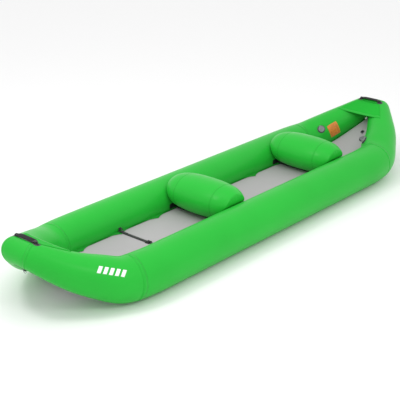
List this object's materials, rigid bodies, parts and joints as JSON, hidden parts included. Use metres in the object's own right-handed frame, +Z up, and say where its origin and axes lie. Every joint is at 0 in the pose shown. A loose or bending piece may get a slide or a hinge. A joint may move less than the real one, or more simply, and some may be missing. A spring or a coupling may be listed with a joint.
{
  "type": "inflatable kayak",
  "caption": "Inflatable tandem kayak: side tubes meeting at blunt raised noses, laced drop-stitch floor, thwart seats, foot-brace strap, carry handles, towing rings and inflation valves.",
  "frame": {"origin": "midway between bow and stern on the centreline, at the level the side tubes rest on", "axes": "+X towards the bow, +Y to port, +Z up"},
  "size_m": [3.9614, 1.057, 0.4858],
  "materials": {
    "hull_fabric": "satin coated fabric",
    "floor_fabric": "matte coated fabric",
    "webbing": "woven",
    "ring_steel": "polished",
    "valve_plastic": "moulded satin",
    "plunger_plastic": "moulded",
    "buckle_plastic": "moulded",
    "label_vinyl": "satin vinyl",
    "patch_fabric": "coated fabric"
  },
  "bodies": {
    "hull": {"port_valve_body": "valve_plastic", "starboard_valve_body": "valve_plastic", "floor_valve_body": "valve_plastic", "relief_valve_body": "valve_plastic", "port_tube": "hull_fabric", "starboard_tube": "hull_fabric", "bow_nose": "hull_fabric", "stern_nose": "hull_fabric", "floor": "floor_fabric", "port_floor_flange": "hull_fabric", "starboard_floor_flange": "hull_fabric", "bow_deck": "hull_fabric", "stern_deck": "hull_fabric", "foot_strap_port_anchor": "webbing", "foot_strap_port_ring": "ring_steel", "foot_strap_starboard_anchor": "webbing", "foot_strap_starboard_ring": "ring_steel", "foot_strap": "webbing", "front_thwart_strap_port_anchor": "webbing", "front_thwart_strap_port_ring": "ring_steel", "front_thwart_strap_starboard_anchor": "webbing", "front_thwart_strap_starboard_ring": "ring_steel", "rear_thwart_strap_port_anchor": "webbing", "rear_thwart_strap_port_ring": "ring_steel", "rear_thwart_strap_starboard_anchor": "webbing", "rear_thwart_strap_starboard_ring": "ring_steel", "safety_label": "label_vinyl", "bow_tow_anchor": "patch_fabric", "bow_handle_port_anchor": "webbing", "bow_handle_starboard_anchor": "webbing", "stern_tow_anchor": "patch_fabric", "stern_handle_port_anchor": "webbing", "stern_handle_starboard_anchor": "webbing"},
    "front_thwart": {"front_thwart": "hull_fabric", "front_thwart_valve_body": "valve_plastic", "front_thwart_strap": "webbing"},
    "rear_thwart": {"rear_thwart": "hull_fabric", "rear_thwart_valve_body": "valve_plastic", "rear_thwart_strap": "webbing"},
    "port_valve_cap": {"port_valve_cap": "valve_plastic"},
    "starboard_valve_cap": {"starboard_valve_cap": "valve_plastic"},
    "floor_valve_cap": {"floor_valve_cap": "valve_plastic"},
    "front_thwart_valve_cap": {"front_thwart_valve_cap": "valve_plastic"},
    "rear_thwart_valve_cap": {"rear_thwart_valve_cap": "valve_plastic"},
    "port_valve_plunger": {"port_valve_plunger": "plunger_plastic"},
    "starboard_valve_plunger": {"starboard_valve_plunger": "plunger_plastic"},
    "floor_valve_plunger": {"floor_valve_plunger": "plunger_plastic"},
    "relief_valve_plunger": {"relief_valve_plunger": "plunger_plastic"},
    "bow_tow_ring": {"bow_tow_ring": "ring_steel"},
    "bow_handle": {"bow_handle": "webbing"},
    "stern_tow_ring": {"stern_tow_ring": "ring_steel"},
    "stern_handle": {"stern_handle": "webbing"},
    "foot_strap_buckle": {"foot_strap_buckle": "buckle_plastic"}
  },
  "joints": [
    {"name": "front_thwart_slide", "type": "slide", "parent": "hull", "child": "front_thwart", "axis": [1, 0, 0], "range_m": [-0.04, 0.04], "deforming": ["front_thwart_strap"]},
    {"name": "rear_thwart_slide", "type": "slide", "parent": "hull", "child": "rear_thwart", "axis": [1, 0, 0], "range_m": [-0.04, 0.04], "deforming": ["rear_thwart_strap"]},
    {"name": "port_valve_cap_hinge", "type": "hinge", "parent": "hull", "child": "port_valve_cap", "pos_m": [-1.46168, 0.22236, 0.29619], "axis": [-0.8324, -0.4251, 0.3555], "range_deg": [0, 115]},
    {"name": "starboard_valve_cap_hinge", "type": "hinge", "parent": "hull", "child": "starboard_valve_cap", "pos_m": [-1.46168, -0.22236, 0.29619], "axis": [0.8324, -0.4251, -0.3555], "range_deg": [0, 115]},
    {"name": "floor_valve_cap_hinge", "type": "hinge", "parent": "hull", "child": "floor_valve_cap", "pos_m": [-1.65994, 0.047, 0.20546], "axis": [0.888, 0, -0.4599], "range_deg": [0, 115]},
    {"name": "front_thwart_valve_cap_hinge", "type": "hinge", "parent": "front_thwart", "child": "front_thwart_valve_cap", "pos_m": [0.08807, 0.13798, 0.2545], "axis": [0, 0, -1], "range_deg": [0, 115]},
    {"name": "rear_thwart_valve_cap_hinge", "type": "hinge", "parent": "rear_thwart", "child": "rear_thwart_valve_cap", "pos_m": [-1.12093, 0.13798, 0.2545], "axis": [0, 0, -1], "range_deg": [0, 115]},
    {"name": "port_valve_plunger_press", "type": "slide", "parent": "hull", "child": "port_valve_plunger", "axis": [-0.5541, 0.6479, -0.5227], "range_m": [0, 0.005], "stiffness_N_per_m": 300, "springref_m": -0.003},
    {"name": "starboard_valve_plunger_press", "type": "slide", "parent": "hull", "child": "starboard_valve_plunger", "axis": [-0.5541, -0.6479, -0.5227], "range_m": [0, 0.005], "stiffness_N_per_m": 300, "springref_m": -0.003},
    {"name": "floor_valve_plunger_press", "type": "slide", "parent": "hull", "child": "floor_valve_plunger", "axis": [-0.4599, 0, -0.888], "range_m": [0, 0.005], "stiffness_N_per_m": 300, "springref_m": -0.003},
    {"name": "relief_valve_plunger_press", "type": "slide", "parent": "hull", "child": "relief_valve_plunger", "axis": [-0.5348, 0, -0.845], "range_m": [0, 0.0025], "stiffness_N_per_m": 300, "springref_m": -0.003},
    {"name": "bow_tow_ring_swing", "type": "hinge", "parent": "hull", "child": "bow_tow_ring", "pos_m": [1.9251, 0.04, 0.30008], "axis": [0, 1, 0], "range_deg": [-85, 60]},
    {"name": "stern_tow_ring_swing", "type": "hinge", "parent": "hull", "child": "stern_tow_ring", "pos_m": [-1.9251, 0.04, 0.30008], "axis": [0, -1, 0], "range_deg": [-85, 60]},
    {"name": "bow_handle_tilt", "type": "hinge", "parent": "hull", "child": "bow_handle", "pos_m": [1.866, 0, 0.4781], "axis": [0, 1, 0], "range_deg": [-10, 5]},
    {"name": "stern_handle_tilt", "type": "hinge", "parent": "hull", "child": "stern_handle", "pos_m": [-1.866, 0, 0.4781], "axis": [0, 1, 0], "range_deg": [-5, 10]},
    {"name": "foot_strap_buckle_slide", "type": "slide", "parent": "hull", "child": "foot_strap_buckle", "axis": [0, 1, 0], "range_m": [-0.06, 0.09]}
  ]
}
